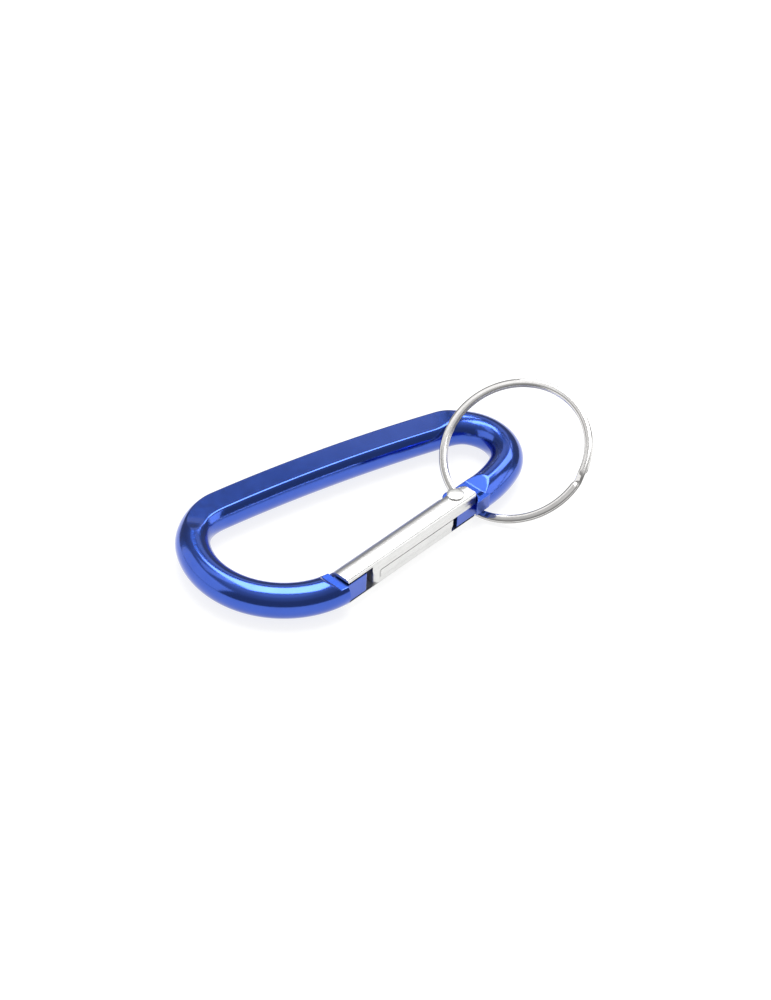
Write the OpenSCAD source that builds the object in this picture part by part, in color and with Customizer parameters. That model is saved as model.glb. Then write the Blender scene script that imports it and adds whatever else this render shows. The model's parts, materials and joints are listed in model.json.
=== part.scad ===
// Carabiner keyring: a bent bar frame in the shape of an asymmetric D, a folded
// sheet gate on a rivet with a coil spring and a plunger inside it, and a split
// ring. Millimetres. The D lies flat: X runs from the nose to the hinge end,
// Y from the gate to the spine, Z up. Each shape is drawn about the hinge axis
// at the bar's mid-plane, and then stood on z = 0 over the middle of its base.

/* [Bar] */
// diameter of the round bar
bar_d = 5.4; // [5.3:0.1:5.6]
// diameter of the spine's bar before its two faces are pressed flat
spine_d = 6.0; // [5.8:0.1:6.2]
// thickness of the spine between its pressed faces
spine_t = 4.5; // [4.3:0.1:4.8]
// thickness of the milled ends that the gate's cheeks pass over
tab_t = 3.4; // [3.2:0.1:3.6]

/* [Outline] */
// bend radius where the bar leaves the hinge end
heel_r = 20.4; // [19.9:0.1:20.9]
// bend radius of the hinge bow
hinge_bow_r = 7.1; // [6.9:0.1:7.3]
// bend radius of the slightly bowed spine
spine_r = 252; // [240:1:265]
// bend radius of the nose's corner
corner_r = 8.8; // [8.6:0.1:9.0]

/* [Gate] */
// outside width of the folded gate
gate_w = 4.2; // [4.15:0.05:4.25]
// outside height of the folded gate
gate_h = 5; // [4.8:0.05:5.1]
// thickness of the gate's sheet
sheet_t = 0.5; // [0.45:0.05:0.5]
// length from the hinge axis to the gate's nose end
gate_len = 25.9; // [25.6:0.1:26.1]
// outside radius of the fold on the gate's inner side
fold_r = 2.2; // [2.0:0.1:2.3]

/* [Rivet] */
// diameter of the rivet's shank
shank_d = 1.8; // [1.7:0.1:1.9]
// diameter of the rivet's heads
head_d = 2.7; // [2.5:0.1:2.9]
// height of each head above the gate's cheek
head_h = 0.4; // [0.35:0.05:0.5]

/* [Spring] */
// outside diameter of the coil spring
coil_d = 2.7; // [2.5:0.1:2.8]
// diameter of the spring's wire
coil_wire = 0.45; // [0.4:0.05:0.5]
// number of turns in the spring
coil_turns = 12; // [10:1:13]

/* [Split ring] */
// outside diameter of the split ring
ring_d = 24.6; // [24.4:0.1:24.8]
// radial width of the ring's wire
ring_w = 1.25; // [1.1:0.05:1.25]
// height of both turns together
ring_h = 1; // [1:0.05:1.1]

/* [Hidden] */
$fn = 64;
eps = 0.01;
over = 1;

// colours
c_bar = [0.13, 0.25, 0.68];
c_gate = [0.86, 0.86, 0.85];
c_steel = [0.78, 0.77, 0.75];

bar_r = bar_d / 2;
big = 60;

// the frame's centre line starts beside the hinge axis and runs anticlockwise
line_y = -0.35;
heel_x = 5.67;
heel_turn = 18.7;
hinge_turn = 141.5;
spine_turn = 9.2;
corner_turn = 66.8;
h1 = heel_turn;
h2 = h1 + hinge_turn;
h3 = h2 + spine_turn;
h4 = h3 + corner_turn;
// the last bend's radius closes the outline onto the gate's line
nose_r = (heel_r * (1 - cos(h1)) + hinge_bow_r * (cos(h1) - cos(h2))
  + spine_r * (cos(h2) - cos(h3)) + corner_r * (cos(h3) - cos(h4))) / (1 - cos(h4));
// centre of each bend
heel_c = [heel_x, line_y + heel_r];
hinge_c = heel_c + (heel_r - hinge_bow_r) * [sin(h1), -cos(h1)];
spine_c = hinge_c + (hinge_bow_r - spine_r) * [sin(h2), -cos(h2)];
corner_c = spine_c + (spine_r - corner_r) * [sin(h3), -cos(h3)];
nose_c = corner_c + (corner_r - nose_r) * [sin(h4), -cos(h4)];

// the spine steps down to the round bar in two stages into each bow
step_turn = 7;
// each thinner length of bar laps a little way into a thicker one
lap = 0.15;
skin = 0.01;
step_1_r = bar_r + (spine_d / 2 - bar_r) * 2 / 3;
step_2_r = bar_r + (spine_d / 2 - bar_r) / 3;

// pressed faces of the spine: their two ends and the slope that they run out at
flat_hinge = [12, 14];
flat_nose = [-32.3, 22.6];
flat_hinge_dir = -40;
flat_nose_dir = 215;
run_out = 14;
press_from_y = 8;

// milled ends
tab_half = tab_t / 2;
hinge_crease_x = 4.3;
nose_crease_x = -27.4;
hinge_slope = 24;
nose_slope = 40;
tongue_end_x = -22;
cut_reach = 8;
cam_r = 1.75;
cam_offset = 0.3;
web_gap = 0.85;
// where the nose end's outer face starts, and how far it lies from the gate's middle plane
nose_face = [-26.2, -2.15];
// the hinge end's outer side is pressed out square, and cut back round the hinge axis so that
// the upper flange lies and turns inside it, above a toe that is flush with the gate
hinge_face_y = -1.5;
hinge_recess_r = 3.5;
lip_from_x = 1;
lip_to_x = 4.7;
lip_y = -3.08;
lip_low = -0.9;
toe_x = -1.7;
toe_y = -2.15;
toe_top = 0.5;

// gate
gate_inner = gate_w / 2 - sheet_t;
gate_half_h = gate_h / 2;
// hinge end of the upper cheek and of the flange that hangs from it
cheek_end_x = 2.7;
inner_edge_y = 1.1;
inner_corner_r = 1.1;
outer_corner_r = 0.4;
web_end_x = -2.1;
// the lower flange's two ends, and the upper flange's nose end
flange_nose_x = -19;
flange_hinge_x = -2.85;
flange_top_x = -20.7;
flange_bend_r = 0.6;
seat_bend_r = 1;
seat_depth = 2;
seam_z = 0.6;
seam_w = 0.12;
rivet_fit = 0.04;
head_rim = 0.26;

// plunger and spring
plunger_d = 2.9;
seat_gap = 0.03;
plunger_face_x = -cam_r - seat_gap;
plunger_head = 1.6;
stem_d = 1.5;
stem_len = 3.6;
coil_start = plunger_face_x - plunger_head - seat_gap;
coil_end = flange_nose_x - seat_bend_r + sheet_t + seat_gap;
coil_steps = 16;
coil_sides = 6;

// split ring: pose of its middle, its lean and its two turns
ring_pos = [14.08, 0.02, 3.2];
ring_lean = 30.7;
ring_lean_dir = 187.5;
ring_mid_r = ring_d / 2 - ring_w / 2;
turn_h = ring_h / 2;
turn_round = 0.22;
split_dir = 92;
split_half = 5;
turn_join = 0.06;
step_lap = 0.2;

// base: the lowest point stands on z = 0, under the middle of the whole
base = [7.88, -7.75, 3.4];

// part of a bent round bar: a bend about a centre, between two headings; its
// ends can lap into thicker neighbours
module bend(centre, bend_r, from, to, r, lap_from = 0, lap_to = 0) {
  deg = 180 / (PI * bend_r);
  translate([centre[0], centre[1], 0]) rotate([0, 0, from - lap_from * deg - 90])
    rotate_extrude(angle = to - from + (lap_from + lap_to) * deg) translate([bend_r, 0]) circle(r);
}

module straight(from_x, to_x, r) {
  translate([from_x, line_y, 0]) rotate([0, 90, 0]) cylinder(h = to_x - from_x, r = r);
}

module round_bar() {
  s = step_turn;
  straight(0, heel_x + lap, bar_r - skin);
  bend(heel_c, heel_r, 0, h1, bar_r);
  bend(hinge_c, hinge_bow_r, h1, h2 - 2 * s, bar_r - skin, lap, lap);
  bend(hinge_c, hinge_bow_r, h2 - 2 * s, h2 - s, step_2_r, 0, lap);
  bend(hinge_c, hinge_bow_r, h2 - s, h2, step_1_r, 0, lap);
  bend(spine_c, spine_r, h2, h3, spine_d / 2);
  bend(corner_c, corner_r, h3, h3 + s, step_1_r, lap);
  bend(corner_c, corner_r, h3 + s, h3 + 2 * s, step_2_r, lap);
  bend(corner_c, corner_r, h3 + 2 * s, h4, bar_r, lap);
  bend(nose_c, nose_r, h4, 360, bar_r - skin, lap);
  straight(nose_c[0] - lap, tongue_end_x, bar_r - 2 * skin);
}

// space above a face that starts along a line at one level and rises towards dir
module above_slope(start, level, dir, slope) {
  translate([start[0], start[1], level]) rotate([0, 0, dir]) rotate([0, -slope, 0])
    translate([-big, -big, 0]) cube([2 * big, 2 * big, big]);
}

// material pressed away above one face of the spine, running out at both ends
module face_press() {
  intersection() {
    translate([-big, press_from_y, spine_t / 2]) cube([2 * big, big, bar_d]);
    above_slope(flat_hinge, spine_t / 2, flat_hinge_dir, run_out);
    above_slope(flat_nose, spine_t / 2, flat_nose_dir, run_out);
  }
}

// material milled off above one milled end, up a ramp from its crease
module tab_cut(crease_x, dir, slope) {
  intersection() {
    translate([crease_x - cut_reach, -bar_d, tab_half]) cube([2 * cut_reach, 2 * bar_d, bar_d]);
    above_slope([crease_x, 0], tab_half, dir, slope);
  }
}

module frame_bar() {
  color(c_bar) difference() {
    union() {
      round_bar();
      // rounded cam end, off the hinge axis towards the inner side
      translate([0, cam_offset, -tab_half]) cylinder(h = tab_t, r = cam_r);
      translate([lip_from_x, lip_y, lip_low])
        cube([lip_to_x - lip_from_x, -lip_y, tab_half - lip_low]);
      translate([toe_x, toe_y, -tab_half])
        cube([lip_from_x + eps - toe_x, -toe_y, tab_half + toe_top]);
    }
    for (m = [0, 1]) mirror([0, 0, m]) {
      face_press();
      tab_cut(hinge_crease_x, 0, hinge_slope);
      tab_cut(nose_crease_x, 180, nose_slope);
    }
    // tongue's inner face, clear of the gate's fold
    translate([nose_face[0], gate_inner - web_gap, -bar_r]) cube([cut_reach, bar_d, bar_d]);
    // outer faces: the nose end's is flush with the gate, the hinge end's is under the flange
    translate([nose_face[0], nose_face[1] - bar_d, -bar_r]) cube([cut_reach, bar_d, bar_d]);
    intersection() {
      union() {
        translate([-cut_reach, hinge_face_y - bar_d, toe_top]) cube([2 * cut_reach, bar_d, bar_d]);
        translate([-cut_reach, toe_y - bar_d, -bar_r - eps]) cube([2 * cut_reach, bar_d, bar_d]);
      }
      translate([0, 0, -bar_r - over]) cylinder(h = bar_d + 2 * over, r = hinge_recess_r);
    }
    translate([0, 0, -bar_r]) cylinder(h = bar_d, d = shank_d + 2 * rivet_fit);
  }
}

// outline of the folded sheet across the gate, y to the inner side, z up
module gate_skin(grow) {
  r = fold_r - grow;
  f = flange_bend_r - min(grow, flange_bend_r - 0.1);
  w = gate_w / 2 - grow;
  h = gate_half_h - grow;
  union() {
    for (s = [-1, 1]) {
      translate([w - r, s * (h - r)]) circle(r);
      translate([f - w, s * (h - f)]) circle(f);
    }
    translate([-w, f - h]) square([f + eps, 2 * (h - f)]);
    translate([f - w, -h]) square([2 * w - f - r, 2 * h]);
    translate([w - r - eps, r - h]) square([r + eps, 2 * (h - r)]);
  }
}

// turns a cross-section so that it runs along X from one end to the other
module along_x(from_x, to_x) {
  translate([from_x, 0, 0]) rotate([90, 0, 90]) linear_extrude(to_x - from_x) children();
}

// space inside the sheet, over part of the gate's length, one side of it and part of its height
module cheek_gap(from_x, to_x, from_y, from_z, to_z) {
  translate([from_x, from_y, from_z]) cube([to_x - from_x, gate_w, to_z - from_z]);
}

// material outside a rounded corner of the cheeks, on the side that y_side points to
module corner_cut(corner_r, edge_y, y_side) {
  centre = [cheek_end_x - corner_r, edge_y - y_side * corner_r];
  translate([centre[0], centre[1], -gate_h]) difference() {
    translate([0, y_side > 0 ? 0 : -gate_w, 0]) cube([gate_w, gate_w, 2 * gate_h]);
    translate([0, 0, -over]) cylinder(h = 2 * (gate_h + over), r = corner_r);
  }
}

// the lower flange's end: bent inwards, then straight across as the spring's seat
module spring_seat() {
  low = -gate_half_h + sheet_t - eps;
  high = seam_z - seam_w / 2;
  bend_y = seat_bend_r - gate_w / 2;
  translate([flange_nose_x, bend_y, low]) {
    intersection() {
      difference() {
        cylinder(h = high - low, r = seat_bend_r - skin);
        translate([0, 0, -over]) cylinder(h = high - low + 2 * over, r = seat_bend_r - sheet_t);
      }
      translate([-2 * seat_bend_r, -2 * seat_bend_r, 0])
        cube([2 * seat_bend_r + eps, 2 * seat_bend_r + eps, high - low]);
    }
    translate([-seat_bend_r, 0, 0]) cube([sheet_t, seat_depth, high - low]);
  }
}

module gate_shell() {
  low = -gate_half_h + sheet_t - eps;
  seam_top = seam_z + seam_w / 2;
  past_nose = -gate_len - over;
  past_hinge = cheek_end_x + over;
  color(c_gate) difference() {
    union() {
      difference() {
        along_x(-gate_len, cheek_end_x) gate_skin(0);
        along_x(past_nose, past_hinge) gate_skin(sheet_t);
        // the outer side is open past the ends of the folded flanges
        cheek_gap(past_nose, flange_nose_x, -gate_w, low, seam_top);
        cheek_gap(past_nose, flange_top_x, -gate_w, low, -low);
        cheek_gap(flange_hinge_x, past_hinge, -gate_w, low, seam_top);
        // the fold stops short of the hinge, where the cheeks are trimmed straight
        cheek_gap(web_end_x, past_hinge, 0, low, -low);
        cheek_gap(web_end_x, past_hinge, inner_edge_y, -gate_h, gate_h);
        // seam where the two flanges meet
        cheek_gap(flange_top_x - over, flange_hinge_x + over, -gate_w, seam_z - seam_w / 2, seam_top);
      }
      spring_seat();
    }
    corner_cut(inner_corner_r, inner_edge_y + skin, 1);
    corner_cut(outer_corner_r, -gate_w / 2 - skin, -1);
    translate([0, 0, -gate_h]) cylinder(h = 2 * gate_h, d = shank_d);
  }
}

module hinge_rivet() {
  dome_h = head_h - head_rim;
  dome_r = (head_d * head_d / 4 + dome_h * dome_h) / (2 * dome_h);
  color(c_steel) {
    translate([0, 0, -gate_half_h - eps]) cylinder(h = gate_h + 2 * eps, d = shank_d);
    for (m = [0, 1]) mirror([0, 0, m]) intersection() {
      translate([0, 0, gate_half_h]) cylinder(h = head_h + over, d = head_d);
      translate([0, 0, gate_half_h + head_h - dome_r]) sphere(dome_r);
    }
  }
}

module spring_plunger() {
  color(c_steel) {
    along_x(plunger_face_x - plunger_head, plunger_face_x) circle(d = plunger_d);
    along_x(plunger_face_x - plunger_head - stem_len, plunger_face_x - plunger_head + eps)
      circle(d = stem_d);
  }
}

module gate_spring() {
  wire_r = coil_wire / 2;
  r = coil_d / 2 - wire_r;
  n = coil_turns * coil_steps;
  span = coil_start - coil_end - coil_wire;
  // points of a round wire's rings along the helix
  pts = [for (i = [0:n]) let (a = 360 * i / coil_steps)
    for (k = [0:coil_sides - 1]) let (b = 360 * k / coil_sides, q = r + wire_r * cos(b))
      [coil_start - wire_r - span * i / n + wire_r * sin(b), q * cos(a), q * sin(a)]];
  sides = [for (i = [0:n - 1]) for (k = [0:coil_sides - 1])
    let (j = (k + 1) % coil_sides, a = i * coil_sides, b = a + coil_sides)
      for (t = [[a + k, a + j, b + j], [a + k, b + j, b + k]]) t];
  ends = [[for (k = [coil_sides - 1:-1:0]) k], [for (k = [0:coil_sides - 1]) n * coil_sides + k]];
  color(c_steel) polyhedron(pts, concat(sides, ends));
}

// one turn's section, rounded at its four corners
module turn_section() {
  translate([ring_mid_r - ring_w / 2 + turn_round, 0]) square([ring_w - 2 * turn_round, turn_h]);
  translate([ring_mid_r - ring_w / 2, turn_round]) square([ring_w, turn_h - 2 * turn_round]);
  for (x = [-1, 1], z = [turn_round, turn_h - turn_round])
    translate([ring_mid_r + x * (ring_w / 2 - turn_round), z]) circle(turn_round, $fn = 24);
}

module split_ring() {
  step_len = ring_mid_r * split_half * PI / 90 + 2 * step_lap;
  step_angle = atan((turn_h - turn_join) / (step_len - 2 * step_lap));
  color(c_steel) translate(ring_pos) rotate([0, 0, ring_lean_dir]) rotate([0, ring_lean, 0])
    rotate([0, 0, split_dir]) {
      for (z = [-turn_h + turn_join / 2, -turn_join / 2]) translate([0, 0, z])
        rotate([0, 0, split_half]) rotate_extrude(angle = 360 - 2 * split_half) turn_section();
      // the wire steps from the lower turn to the upper one between their ends
      translate([ring_mid_r, 0, 0]) rotate([step_angle, 0, 0])
        cube([ring_w - 2 * turn_join, step_len, turn_h - 2 * turn_join], center = true);
    }
}

translate(base) {
  frame_bar();
  gate_shell();
  hinge_rivet();
  spring_plunger();
  gate_spring();
  split_ring();
}
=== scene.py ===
"""Looks of the carabiner keyring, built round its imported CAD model.

The helpers work in millimetres from the gate's hinge axis at the bar's mid-plane: X from the nose to the
hinge end, Y from the gate to the spine, Z up. Blender works in metres, in the row frame.
"""

import json
import math

import bmesh
import bpy
import numpy as np
from mathutils import Matrix, Vector


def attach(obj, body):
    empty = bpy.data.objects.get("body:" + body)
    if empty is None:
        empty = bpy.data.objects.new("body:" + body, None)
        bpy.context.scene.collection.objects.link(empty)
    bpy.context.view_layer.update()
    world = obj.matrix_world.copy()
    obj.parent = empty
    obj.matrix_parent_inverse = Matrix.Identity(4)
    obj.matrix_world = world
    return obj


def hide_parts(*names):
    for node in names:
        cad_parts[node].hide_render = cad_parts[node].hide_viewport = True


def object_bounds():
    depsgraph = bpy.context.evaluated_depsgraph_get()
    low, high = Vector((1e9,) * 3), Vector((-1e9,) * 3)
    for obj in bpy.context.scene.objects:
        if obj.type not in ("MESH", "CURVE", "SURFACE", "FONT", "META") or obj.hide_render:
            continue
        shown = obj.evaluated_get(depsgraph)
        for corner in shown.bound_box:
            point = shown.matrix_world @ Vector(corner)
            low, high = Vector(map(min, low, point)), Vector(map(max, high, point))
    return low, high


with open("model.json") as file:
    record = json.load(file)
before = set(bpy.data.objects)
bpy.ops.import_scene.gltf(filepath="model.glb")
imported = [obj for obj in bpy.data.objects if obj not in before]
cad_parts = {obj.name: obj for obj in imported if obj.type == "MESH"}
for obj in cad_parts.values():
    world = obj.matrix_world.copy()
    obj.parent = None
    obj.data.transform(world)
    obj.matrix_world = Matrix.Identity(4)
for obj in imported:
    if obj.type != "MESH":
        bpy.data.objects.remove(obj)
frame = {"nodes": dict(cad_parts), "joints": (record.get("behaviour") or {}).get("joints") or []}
cad_lo, cad_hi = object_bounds()
NODES = frame["nodes"]
JOINTS = {j["name"]: j for j in frame["joints"]}
HINGE = np.array(JOINTS["gate_hinge"]["pos_m"])  # metres
scene = bpy.context.scene


# ---------------------------------------------------------------- camera, light and floor

CAM_AZIMUTH, CAM_ELEVATION, CAM_ROLL = -48.9, 40.99, 3.1
CAM_DISTANCE = 0.4005
CAM_AIM = (-0.00645, 0.00858, 0.0)  # from the hinge axis
CAM_LENS = 120.78
SENSOR_WIDTH = 36

# each light as azimuth and elevation in degrees, distance and size in metres, and radiance
PANELS = {
    "softbox": (40, 72, 0.58, (0.40, 0.46), 5.8),
    "ramp_fill": (106, 57, 0.60, (0.20, 0.20), 0.8),
    "side_panel": (8, 40, 0.50, (0.20, 0.15), 3.0),
    "front_fill": (-45, 22, 0.50, (0.30, 0.34), 1.6),
    "back_fill": (135, 22, 0.55, (0.60, 0.42), 1.0),
    "far_fill": (41, 33, 0.60, (0.30, 0.14), 0.55),
}
# the surroundings' radiance by height, from the horizon to overhead
SKY_LEVELS = [(0.0, 0.22), (0.5, 0.25), (0.8, 0.45), (0.95, 0.8)]
FLOOR_HALF, FLOOR_DROP, FLOOR_BASE, FLOOR_GLOW = 0.4, 0.00002, 0.26, 0.82


def add_camera():
    az, el, roll = (math.radians(a) for a in (CAM_AZIMUTH, CAM_ELEVATION, CAM_ROLL))
    back = Vector((math.sin(az) * math.cos(el), -math.cos(az) * math.cos(el), math.sin(el)))
    right = Vector((0, 0, 1)).cross(back).normalized()
    up = back.cross(right)
    turned_right = right * math.cos(roll) + up * math.sin(roll)
    turned_up = up * math.cos(roll) - right * math.sin(roll)
    data = bpy.data.cameras.new("camera")
    data.sensor_fit, data.sensor_width, data.lens = "HORIZONTAL", SENSOR_WIDTH, CAM_LENS
    data.clip_start, data.clip_end = 0.01, 20
    camera = bpy.data.objects.new("camera", data)
    turn = Matrix((turned_right, turned_up, back)).transposed().to_4x4()
    place = Vector(HINGE) + Vector(CAM_AIM) + back * CAM_DISTANCE
    camera.matrix_world = Matrix.Translation(place) @ turn
    scene.collection.objects.link(camera)
    scene.camera = camera


def add_panel(name, azimuth, elevation, distance, size, level):
    """A rectangular light that faces the object; azimuth is measured from +X, level is its radiance."""
    az, el = math.radians(azimuth), math.radians(elevation)
    away = Vector((math.cos(az) * math.cos(el), math.sin(az) * math.cos(el), math.sin(el)))
    data = bpy.data.lights.new(name, "AREA")
    data.shape, data.size, data.size_y = "RECTANGLE", size[0], size[1]
    data.energy = level * math.pi * size[0] * size[1]
    light = bpy.data.objects.new(name, data)
    light.location = Vector(HINGE) + away * distance
    light.rotation_euler = away.to_track_quat("Z", "Y").to_euler()
    scene.collection.objects.link(light)


def add_studio():
    world = bpy.data.worlds.new("studio")
    scene.world = world
    world.use_nodes = True
    tree = world.node_tree
    tree.nodes.clear()
    out = tree.nodes.new("ShaderNodeOutputWorld")
    sky = tree.nodes.new("ShaderNodeBackground")
    where = tree.nodes.new("ShaderNodeTexCoord")
    split = tree.nodes.new("ShaderNodeSeparateXYZ")
    ramp = tree.nodes.new("ShaderNodeValToRGB")
    ramp.color_ramp.interpolation = "EASE"
    while len(ramp.color_ramp.elements) < len(SKY_LEVELS):
        ramp.color_ramp.elements.new(0.5)
    for element, (at, level) in zip(ramp.color_ramp.elements, SKY_LEVELS):
        element.position, element.color = at, (level, level, level, 1)
    tree.links.new(where.outputs["Generated"], split.inputs[0])
    tree.links.new(split.outputs["Z"], ramp.inputs[0])
    tree.links.new(ramp.outputs[0], sky.inputs["Color"])
    tree.links.new(sky.outputs[0], out.inputs[0])
    for name, values in PANELS.items():
        add_panel(name, *values)
    scene.view_settings.view_transform = "Standard"


def add_floor():
    grid = bmesh.new()
    bmesh.ops.create_grid(grid, x_segments=8, y_segments=8, size=FLOOR_HALF)
    mesh = bpy.data.meshes.new("floor")
    grid.to_mesh(mesh)
    grid.free()
    floor = bpy.data.objects.new("floor", mesh)
    floor.location.z = cad_lo.z - FLOOR_DROP
    scene.collection.objects.link(floor)
    mat = bpy.data.materials.new("floor")
    mat.use_nodes = True
    shader = mat.node_tree.nodes["Principled BSDF"]
    shader.inputs["Base Color"].default_value = (FLOOR_BASE, FLOOR_BASE, FLOOR_BASE, 1)
    shader.inputs["Emission Color"].default_value = (1, 1, 1, 1)
    shader.inputs["Emission Strength"].default_value = FLOOR_GLOW
    shader.inputs["Roughness"].default_value = 0.9
    shader.inputs["Specular IOR Level"].default_value = 0.0
    mesh.materials.append(mat)


add_camera()
add_studio()
add_floor()


# ---------------------------------------------------------------- materials


class Nodes:
    """Short calls for building a material's node tree in object coordinates."""

    def __init__(self, name):
        self.mat = bpy.data.materials.new(name)
        self.mat.use_nodes = True
        self.tree = self.mat.node_tree
        self.shader = self.tree.nodes["Principled BSDF"]
        self.place = self.add("ShaderNodeTexCoord").outputs["Object"]

    def add(self, kind, **values):
        node = self.tree.nodes.new(kind)
        for key, value in values.items():
            setattr(node, key, value)
        return node

    def link(self, a, b):
        self.tree.links.new(a, b)

    def stretched(self, scale):
        node = self.add("ShaderNodeMapping")
        node.inputs["Scale"].default_value = scale
        self.link(self.place, node.inputs["Vector"])
        return node.outputs[0]

    def noise(self, scale, detail=3.0, rough=0.5, coords=None):
        node = self.add("ShaderNodeTexNoise")
        node.inputs["Scale"].default_value = scale
        node.inputs["Detail"].default_value = detail
        node.inputs["Roughness"].default_value = rough
        self.link(coords if coords is not None else self.place, node.inputs["Vector"])
        return node.outputs["Fac"]

    def spread(self, value, lo, hi, at_lo=0.3, at_hi=0.7):
        node = self.add("ShaderNodeMapRange")
        node.inputs["From Min"].default_value, node.inputs["From Max"].default_value = at_lo, at_hi
        node.inputs["To Min"].default_value, node.inputs["To Max"].default_value = lo, hi
        self.link(value, node.inputs["Value"])
        return node.outputs[0]

    def tint(self, value, dark, light):
        node = self.add("ShaderNodeMix", data_type="RGBA")
        node.inputs["A"].default_value, node.inputs["B"].default_value = (*dark, 1), (*light, 1)
        self.link(value, node.inputs["Factor"])
        return node.outputs["Result"]

    def times(self, a, b):
        node = self.add("ShaderNodeMath", operation="MULTIPLY")
        for socket, value in zip(node.inputs, (a, b)):
            if isinstance(value, (int, float)):
                socket.default_value = value
            else:
                self.link(value, socket)
        return node.outputs[0]

    def plus(self, a, b):
        node = self.add("ShaderNodeMath", operation="ADD")
        self.link(a, node.inputs[0])
        self.link(b, node.inputs[1])
        return node.outputs[0]

    def bump(self, height, depth):
        """Bump of a height from 0 to 1 that stands for a depth in metres."""
        node = self.add("ShaderNodeBump")
        node.inputs["Strength"].default_value = 1.0
        node.inputs["Distance"].default_value = depth
        self.link(height, node.inputs["Height"])
        self.link(node.outputs[0], self.shader.inputs["Normal"])

    def put(self, socket, value):
        if isinstance(value, (int, float)):
            self.shader.inputs[socket].default_value = value
        else:
            self.link(value, self.shader.inputs[socket])


def anodised_blue():
    m = Nodes("anodised_blue")
    cloud = m.spread(m.noise(260, 4), 0, 1)
    m.put("Base Color", m.tint(cloud, (0.026, 0.086, 0.48), (0.034, 0.100, 0.52)))
    m.put("Metallic", 1.0)
    milled = m.add("ShaderNodeAttribute", attribute_name="milled").outputs["Fac"]
    polish = m.spread(m.noise(900, 3), 0.14, 0.19)
    m.put("Roughness", m.plus(polish, m.times(milled, 0.16)))
    m.put("Coat Weight", 0.7)
    m.put("Coat Roughness", 0.08)
    m.put("Coat IOR", 1.5)
    # the peened skin where the press ran out, and the faint peel of the anodised bar
    worn = m.add("ShaderNodeAttribute", attribute_name="peened").outputs["Fac"]
    grain = m.times(m.spread(m.noise(3600, 2, 0.6), 0, 1), worn)
    peel = m.times(m.noise(1500, 2), 0.12)
    m.bump(m.plus(grain, peel), 0.000012)
    return m.mat


def satin_aluminium():
    m = Nodes("satin_aluminium")
    cloud = m.spread(m.noise(420, 4), 0, 1)
    m.put("Base Color", m.tint(cloud, (0.69, 0.69, 0.68), (0.74, 0.74, 0.73)))
    m.put("Metallic", 1.0)
    brushed = m.noise(1.0, 4, 0.6, m.stretched((120, 5200, 5200)))
    m.put("Roughness", m.spread(brushed, 0.27, 0.36))
    m.bump(brushed, 0.000004)
    return m.mat


def polished_steel(name, rough):
    m = Nodes(name)
    cloud = m.spread(m.noise(500, 4), 0, 1)
    m.put("Base Color", m.tint(cloud, (0.64, 0.63, 0.62), (0.70, 0.69, 0.68)))
    m.put("Metallic", 1.0)
    m.put("Roughness", m.spread(m.noise(1600, 3), rough * 0.75, rough * 1.3))
    m.bump(m.noise(2600, 2), 0.000002)
    return m.mat


BLUE = anodised_blue()
ALUMINIUM = satin_aluminium()
STEEL = polished_steel("polished_steel", 0.10)
SPRING_STEEL = polished_steel("spring_steel", 0.24)


# ---------------------------------------------------------------- the bent bar

LINE_Y, HEEL_X = -0.35, 5.67
BAR_R, SPINE_R = 2.7, 3.0
# bends in order from the hinge end: radius and turn in degrees; the last closes the outline
BENDS = [(20.4, 18.7), (7.1, 141.5), (252.0, 9.2), (8.8, 66.8)]
# turns over which the spine's radius eases to the bows', at its hinge and nose ends
HINGE_EASE, NOSE_EASE = 38.0, 45.0
SPINE_HALF, TAB_HALF = 2.25, 1.7
RUN_OUTS = [((12.0, 14.0), -40.0), ((-32.3, 22.6), 215.0)]
RUN_OUT_SLOPE = 14.0
HINGE_CREASE, HINGE_SLOPE, NOSE_CREASE, NOSE_SLOPE = 4.3, 24.0, -27.4, 40.0
# where the milled outer faces start, and their levels
HINGE_FACE, HINGE_FACE_Y, NOSE_FACE, NOSE_FACE_Y = 3.16, -1.5, -26.2, -2.15
TONGUE_INNER_Y, TONGUE_END = 0.75, -22.0
CAM_R, CAM_OFFSET = 1.75, 0.3
RECESS_R, LIP_TO_X, LIP_Y, LIP_LOW = 3.5, 4.7, -3.08, -0.9
TOE_X, TOE_Y, TOE_TOP = -1.7, -2.15, 0.5
SQUARE_FROM = 325.0  # heading from which the stations turn square to the nose's milled faces


def smooth_max(a, b, k):
    h = np.maximum(k - np.abs(a - b), 0) / k
    return np.maximum(a, b) + h * h * k / 4


def smooth_min(a, b, k):
    return -smooth_max(-a, -b, k)


def bend_centres():
    """Each bend as centre x, centre y, radius, first and last heading in degrees."""
    x, y, heading, found = HEEL_X, LINE_Y, 0.0, []
    for radius, turn in BENDS + [(None, None)]:
        c, s = math.cos(math.radians(heading)), math.sin(math.radians(heading))
        if radius is None:
            radius, turn = (y - LINE_Y) / (1 - c), 360 - heading
        cx, cy = x - radius * s, y + radius * c
        found.append((cx, cy, radius, heading, heading + turn))
        heading += turn
        c, s = math.cos(math.radians(heading)), math.sin(math.radians(heading))
        x, y = cx + radius * s, cy - radius * c
    return found


CENTRES = bend_centres()


def ease(t):
    t = np.clip(t, 0, 1)
    return t * t * (3 - 2 * t)


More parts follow.
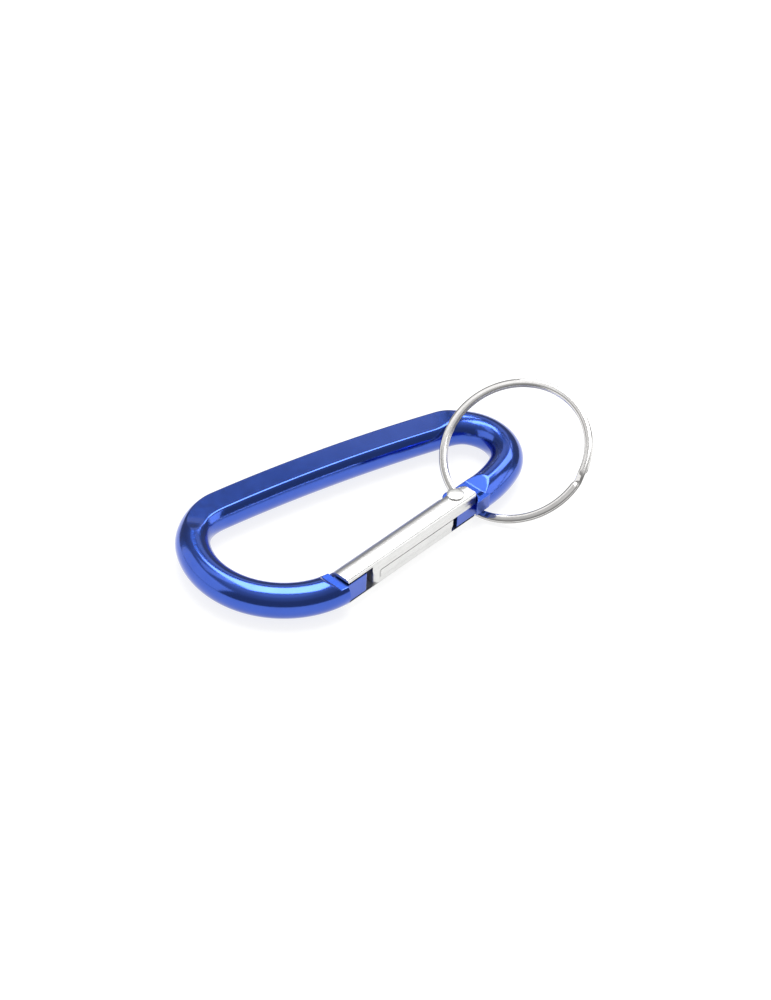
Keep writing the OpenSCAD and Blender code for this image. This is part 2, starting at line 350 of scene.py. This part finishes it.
def bar_stations():
    """Stations along the bar. Each row: x, y, across x, across y, tube radius, bend number (-1 on a
    straight), inset, and zone (0 cam end, 1 hinge end, 2 bends, 3 nose end)."""
    rows = []
    for t in np.linspace(89.2, 4, 26):
        s = math.sin(math.radians(t))
        inset = 0.07 * max(0.0, (s - 0.985) / 0.015) ** 2
        y = CAM_OFFSET + (LINE_Y - CAM_OFFSET) * (1 - s) ** 2
        rows.append((-CAM_R * s, y, 0, 1, BAR_R, -1, inset, 0))
    wall = 0.004
    rows.append((-wall, LINE_Y, 0, 1, BAR_R, -1, 0, 0))
    straight = [np.linspace(wall, HINGE_FACE - wall, 30), np.linspace(HINGE_FACE + wall, HINGE_CREASE, 6),
                np.linspace(HINGE_CREASE, HEEL_X, 12)[1:-1]]
    for x in np.concatenate(straight):
        rows.append((x, LINE_Y, 0, 1, BAR_R, -1, 0, 1))
    for number, (cx, cy, radius, start, end) in enumerate(CENTRES):
        spacing = 0.45 if number == 2 else 0.22
        stop = end if number < 4 else SQUARE_FROM
        count = max(8, int(math.radians(stop - start) * radius / spacing))
        for h in np.linspace(start, stop, count, endpoint=False):
            a = math.radians(h)
            if number == 2:
                r = SPINE_R
            elif number == 1:
                r = SPINE_R - (SPINE_R - BAR_R) * ease((end - h) / HINGE_EASE)
            elif number == 3:
                r = SPINE_R - (SPINE_R - BAR_R) * ease((h - start) / NOSE_EASE)
            else:
                r = BAR_R
            rows.append((cx + radius * math.sin(a), cy - radius * math.cos(a), -math.sin(a), math.cos(a),
                         float(r), number, 0, 1 if number == 0 else 2))
    # the nose end, where the stations turn square to X before the milled faces begin
    cx, cy, radius = CENTRES[4][:3]
    from_x = cx + radius * math.sin(math.radians(SQUARE_FROM))
    ramp_x = NOSE_CREASE - (BAR_R - TAB_HALF) / math.tan(math.radians(NOSE_SLOPE))
    lengths = [np.linspace(from_x, ramp_x, 26), np.linspace(ramp_x, NOSE_CREASE, 9)[1:],
               np.linspace(NOSE_CREASE, NOSE_FACE - wall, 7)[1:],
               np.linspace(NOSE_FACE + wall, TONGUE_END - 0.12, 32)]
    for x in np.concatenate(lengths):
        lean = math.radians(360 - SQUARE_FROM) * (1 - ease((x - from_x) / (ramp_x - from_x)))
        y = cy - math.sqrt(radius**2 - (x - cx) ** 2) if x < cx else LINE_Y
        rows.append((x, y, math.sin(lean), math.cos(lean), BAR_R, 4 if x < cx else -1, 0, 3))
    for x, inset in ((TONGUE_END - 0.035, 0.03), (TONGUE_END, 0.12)):
        rows.append((x, LINE_Y, 0, 1, BAR_R, -1, inset, 3))
    return np.array(rows, float)


def press_level(x, y):
    level = np.full_like(x, SPINE_HALF)
    for (sx, sy), direction in RUN_OUTS:
        a = math.radians(direction)
        rise = math.tan(math.radians(RUN_OUT_SLOPE)) * ((x - sx) * math.cos(a) + (y - sy) * math.sin(a))
        level = smooth_max(level, SPINE_HALF + rise, 0.35)
    return np.where(y > 8, level, 99.0)


def bar_field(rows, x, y, z):
    """Below 0 inside the bar. rows holds each point's station."""
    high = np.abs(z)
    number, zone, tube = rows[..., 5], rows[..., 7], rows[..., 4]
    off = np.where(number < 0, y - LINE_Y, 0.0)
    for k, (cx, cy, radius, _, _) in enumerate(CENTRES):
        off = np.where(number == k, np.hypot(x - cx, y - cy) - radius, off)
    bar = np.hypot(off, z) - tube
    bar = np.where(zone == 2, smooth_max(bar, high - press_level(x, y), 0.12), bar)
    at_hinge, at_nose = (zone == 0) | (zone == 1), zone == 3
    ramp = np.where(at_hinge, (x - HINGE_CREASE) * math.tan(math.radians(HINGE_SLOPE)),
                    (NOSE_CREASE - x) * math.tan(math.radians(NOSE_SLOPE)))
    level = np.where(at_hinge | at_nose, TAB_HALF + np.maximum(ramp, 0), 99.0)
    bar = smooth_max(bar, high - level, 0.06)
    bar = np.where(at_hinge & (x < HINGE_FACE), smooth_max(bar, HINGE_FACE_Y - y, 0.06), bar)
    bar = np.where(at_nose & (x > NOSE_FACE), smooth_max(bar, NOSE_FACE_Y - y, 0.06), bar)
    bar = np.where(at_nose & (x > NOSE_FACE), smooth_max(bar, y - TONGUE_INNER_Y, 0.06), bar)
    cam = smooth_max(np.hypot(x, y - CAM_OFFSET) - CAM_R, high - TAB_HALF, 0.06)
    bar = np.where(zone == 1, np.where(x < 3, smooth_min(bar, cam, 0.05), bar), bar)
    return np.where(zone == 0, cam, bar)


def ring_angles(count, crowded, width, gain):
    """Angles round a section, crowded near some of them."""
    fine = np.linspace(0, 360, 7201)
    near = sum(np.exp(-(((fine - c + 180) % 360 - 180) / width) ** 2) for c in crowded)
    total = np.concatenate([[0], np.cumsum(1 + gain * near[:-1])])
    return np.interp(np.linspace(0, total[-1], count, endpoint=False), total, fine)


def bar_mesh():
    rows = bar_stations()
    angles = np.radians(ring_angles(168, (47, 133, 227, 313), 8, 2.2))
    grid = rows[:, None, :] + np.zeros((1, len(angles), 1))
    across, rise = np.cos(angles)[None, :], np.sin(angles)[None, :]
    near, far = np.full(grid.shape[:2], 0.001), np.full(grid.shape[:2], 4.2)
    for _ in range(24):
        mid = (near + far) / 2
        x = grid[..., 0] + mid * across * grid[..., 2]
        y = grid[..., 1] + mid * across * grid[..., 3]
        inside = bar_field(grid, x, y, mid * rise) + grid[..., 6] < 0
        near, far = np.where(inside, mid, near), np.where(inside, far, mid)
    x = grid[..., 0] + near * across * grid[..., 2]
    y = grid[..., 1] + near * across * grid[..., 3]
    points = np.stack([x, y, near * rise], -1)
    hub = np.stack([rows[[0, -1], 0], rows[[0, -1], 1], [0, 0]], -1)
    return points, hub


def tube_faces(stations, around, closed=False):
    faces = []
    for i in range(stations if closed else stations - 1):
        a, b = i * around, ((i + 1) % stations) * around
        faces += [(a + j, b + j, b + (j + 1) % around, a + (j + 1) % around) for j in range(around)]
    return faces


def make_object(name, points, faces, material, sharp=None):
    """A mesh object from points in millimetres from the hinge axis."""
    mesh = bpy.data.meshes.new(name)
    mesh.from_pydata((np.asarray(points).reshape(-1, 3) / 1000 + HINGE).tolist(), [], faces)
    mesh.validate()
    tidy = bmesh.new()
    tidy.from_mesh(mesh)
    bmesh.ops.recalc_face_normals(tidy, faces=tidy.faces)
    tidy.to_mesh(mesh)
    tidy.free()
    mesh.polygons.foreach_set("use_smooth", [True] * len(mesh.polygons))
    if sharp:
        mesh.set_sharp_from_angle(angle=math.radians(sharp))
    mesh.materials.append(material)
    piece = bpy.data.objects.new(name, mesh)
    scene.collection.objects.link(piece)
    return piece


def put_layer(piece, name, values):
    layer = piece.data.attributes.new(name, "FLOAT", "POINT")
    layer.data.foreach_set("value", np.clip(values, 0, 1).astype(np.float32))


def add_bar():
    points, hub = bar_mesh()
    stations, around = points.shape[:2]
    faces = tube_faces(stations, around)
    first, last = stations * around, stations * around + 1
    faces += [(j, first, (j + 1) % around) for j in range(around)]
    base = (stations - 1) * around
    faces += [(base + j, base + (j + 1) % around, last) for j in range(around)]
    piece = make_object("bent_bar", np.concatenate([points.reshape(-1, 3), hub]), faces, BLUE, 32)
    # how far the press left its skin peened: strongest where the pressed faces run out
    place = np.array([v.co for v in piece.data.vertices]) * 1000 - HINGE * 1000
    peened = sum(np.exp(-(((place[:, 0] - cx) ** 2 + (place[:, 1] - cy) ** 2) / 5.0**2))
                 for cx, cy in ((-33.5, 22.0), (14.5, 11.5)))
    put_layer(piece, "peened", 0.04 + peened)
    # the milled ends, a little past their ramps, are rougher than the drawn bar
    x, y = place[:, 0], place[:, 1]
    hinge_rise, nose_rise = math.tan(math.radians(HINGE_SLOPE)), math.tan(math.radians(NOSE_SLOPE))
    at_hinge = (y < 3) & (x > -5) & (x < HINGE_CREASE + (BAR_R - TAB_HALF) / hinge_rise)
    at_nose = (y < 3) & (x < TONGUE_END + 0.2) & (x > NOSE_CREASE - (BAR_R - TAB_HALF) / nose_rise)
    rise = np.where(at_hinge, (x - HINGE_CREASE) * hinge_rise, (NOSE_CREASE - x) * nose_rise)
    level = TAB_HALF + np.maximum(rise, 0)
    put_layer(piece, "milled", (at_hinge | at_nose) & (np.abs(place[:, 2]) > level - 0.05))
    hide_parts("frame_bar")
    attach(piece, "frame")


def add_block(name, outline, low, high):
    """A piece of the hinge end's squared outer side: an outline in X and Y between two heights."""
    n = len(outline)
    points = [(x, y, z) for z in (low, high) for x, y in outline]
    faces = [tuple(range(n)), tuple(range(n, 2 * n))]
    faces += [(i, (i + 1) % n, n + (i + 1) % n, n + i) for i in range(n)]
    piece = make_object(name, points, faces, BLUE, 32)
    edge = piece.modifiers.new("edge", "BEVEL")
    edge.width, edge.segments, edge.limit_method = 0.00008, 3, "ANGLE"
    edge.angle_limit = math.radians(35)
    put_layer(piece, "peened", np.full(2 * n, 0.04))
    put_layer(piece, "milled", np.full(2 * n, 1.0))
    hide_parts("frame_bar")
    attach(piece, "frame")


def add_hinge_side():
    turns = np.linspace(math.asin(LIP_Y / RECESS_R), math.asin(HINGE_FACE_Y / RECESS_R), 14)
    lip = [(RECESS_R * math.cos(t), RECESS_R * math.sin(t)) for t in turns]
    add_block("hinge_lip", lip + [(LIP_TO_X, HINGE_FACE_Y), (LIP_TO_X, LIP_Y)], LIP_LOW, TAB_HALF)
    toe = [(TOE_X, -1.0), (TOE_X, TOE_Y), (HINGE_FACE, TOE_Y), (HINGE_FACE, -1.0)]
    add_block("hinge_toe", toe, -TAB_HALF, TOE_TOP)


# ---------------------------------------------------------------- the split ring

RING_POS, RING_LEAN, RING_DIR, SPLIT_DIR = (14.08, 0.02, 3.2), 30.7, 187.5, 92.0
RING_MID, RING_W, TURN_H, TURN_GAP = 11.675, 1.25, 0.48, 0.04
ROUND_W, ROUND_H = 0.44, 0.225
SPLIT_HALF = 5.0
# the wire's size and shift in degrees at each end's first two stations
WIRE_ENDS = ((0.80, 0.0), (0.95, 0.35))


def rounded_section(width, height, round_w, round_h, steps=9):
    """A wire's section with elliptical corners."""
    points = []
    for qx, qz, start in ((1, 1, 0), (-1, 1, 90), (-1, -1, 180), (1, -1, 270)):
        for t in np.linspace(start, start + 90, steps):
            points.append((qx * (width / 2 - round_w) + round_w * math.cos(math.radians(t)),
                           qz * (height / 2 - round_h) + round_h * math.sin(math.radians(t))))
    return np.array(points)


def add_ring():
    section = rounded_section(RING_W, TURN_H, ROUND_W, ROUND_H)
    low, high = -(TURN_H + TURN_GAP) / 2, (TURN_H + TURN_GAP) / 2
    s = SPLIT_HALF
    turns = [(a, low) for a in np.linspace(s, 360 - s, 260)]
    for a in np.linspace(360 - s, 360 + s, 14)[1:-1]:
        turns.append((a, low + (high - low) * float(ease((a - 360 + s) / (2 * s)))))
    turns += [(a, high) for a in np.linspace(360 + s, 720 - s, 260)]
    # the wire's two ends are rounded off
    path = []
    for k, (a, level) in enumerate(turns):
        edge = min(k, len(turns) - 1 - k)
        shrink, shift = WIRE_ENDS[edge] if edge < len(WIRE_ENDS) else (1.0, 0.0)
        path.append((math.radians(a + shift * (1 if k < len(WIRE_ENDS) else -1)), level, shrink))
    turn = Matrix.Rotation(math.radians(RING_DIR), 3, "Z") @ Matrix.Rotation(math.radians(RING_LEAN), 3, "Y")
    turn = np.array(turn @ Matrix.Rotation(math.radians(SPLIT_DIR), 3, "Z"))
    points = []
    for a, level, shrink in path:
        r = RING_MID + section[:, 0] * shrink
        own = np.stack([r * math.cos(a), r * math.sin(a), level + section[:, 1] * shrink], -1)
        points.append(own @ turn.T + RING_POS)
    points = np.array(points)
    around = len(section)
    faces = tube_faces(len(points), around)
    faces += [tuple(range(around)), tuple(range((len(points) - 1) * around, len(points) * around))[::-1]]
    piece = make_object("split_ring_wire", points, faces, STEEL, 40)
    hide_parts("split_ring")
    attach(piece, "ring")


# ---------------------------------------------------------------- carried-over nodes


def finish_node(name, material, bevel=None):
    node = NODES[name]
    node.data.materials.clear()
    node.data.materials.append(material)
    if bevel:
        weld = node.modifiers.new("weld", "WELD")
        weld.merge_threshold = 1e-6
        flat = node.modifiers.new("flat", "DECIMATE")
        flat.decimate_type, flat.angle_limit = "DISSOLVE", math.radians(0.5)
        edge = node.modifiers.new("edge", "BEVEL")
        edge.width, edge.segments, edge.limit_method = bevel, 2, "ANGLE"
        edge.angle_limit, edge.use_clamp_overlap = math.radians(35), True
        even = node.modifiers.new("even", "WEIGHTED_NORMAL")
        even.keep_sharp = True


add_bar()
add_hinge_side()
add_ring()
finish_node("gate_shell", ALUMINIUM, 0.00006)
finish_node("hinge_rivet", ALUMINIUM, 0.00008)
finish_node("spring_plunger", SPRING_STEEL)
finish_node("gate_spring", SPRING_STEEL)
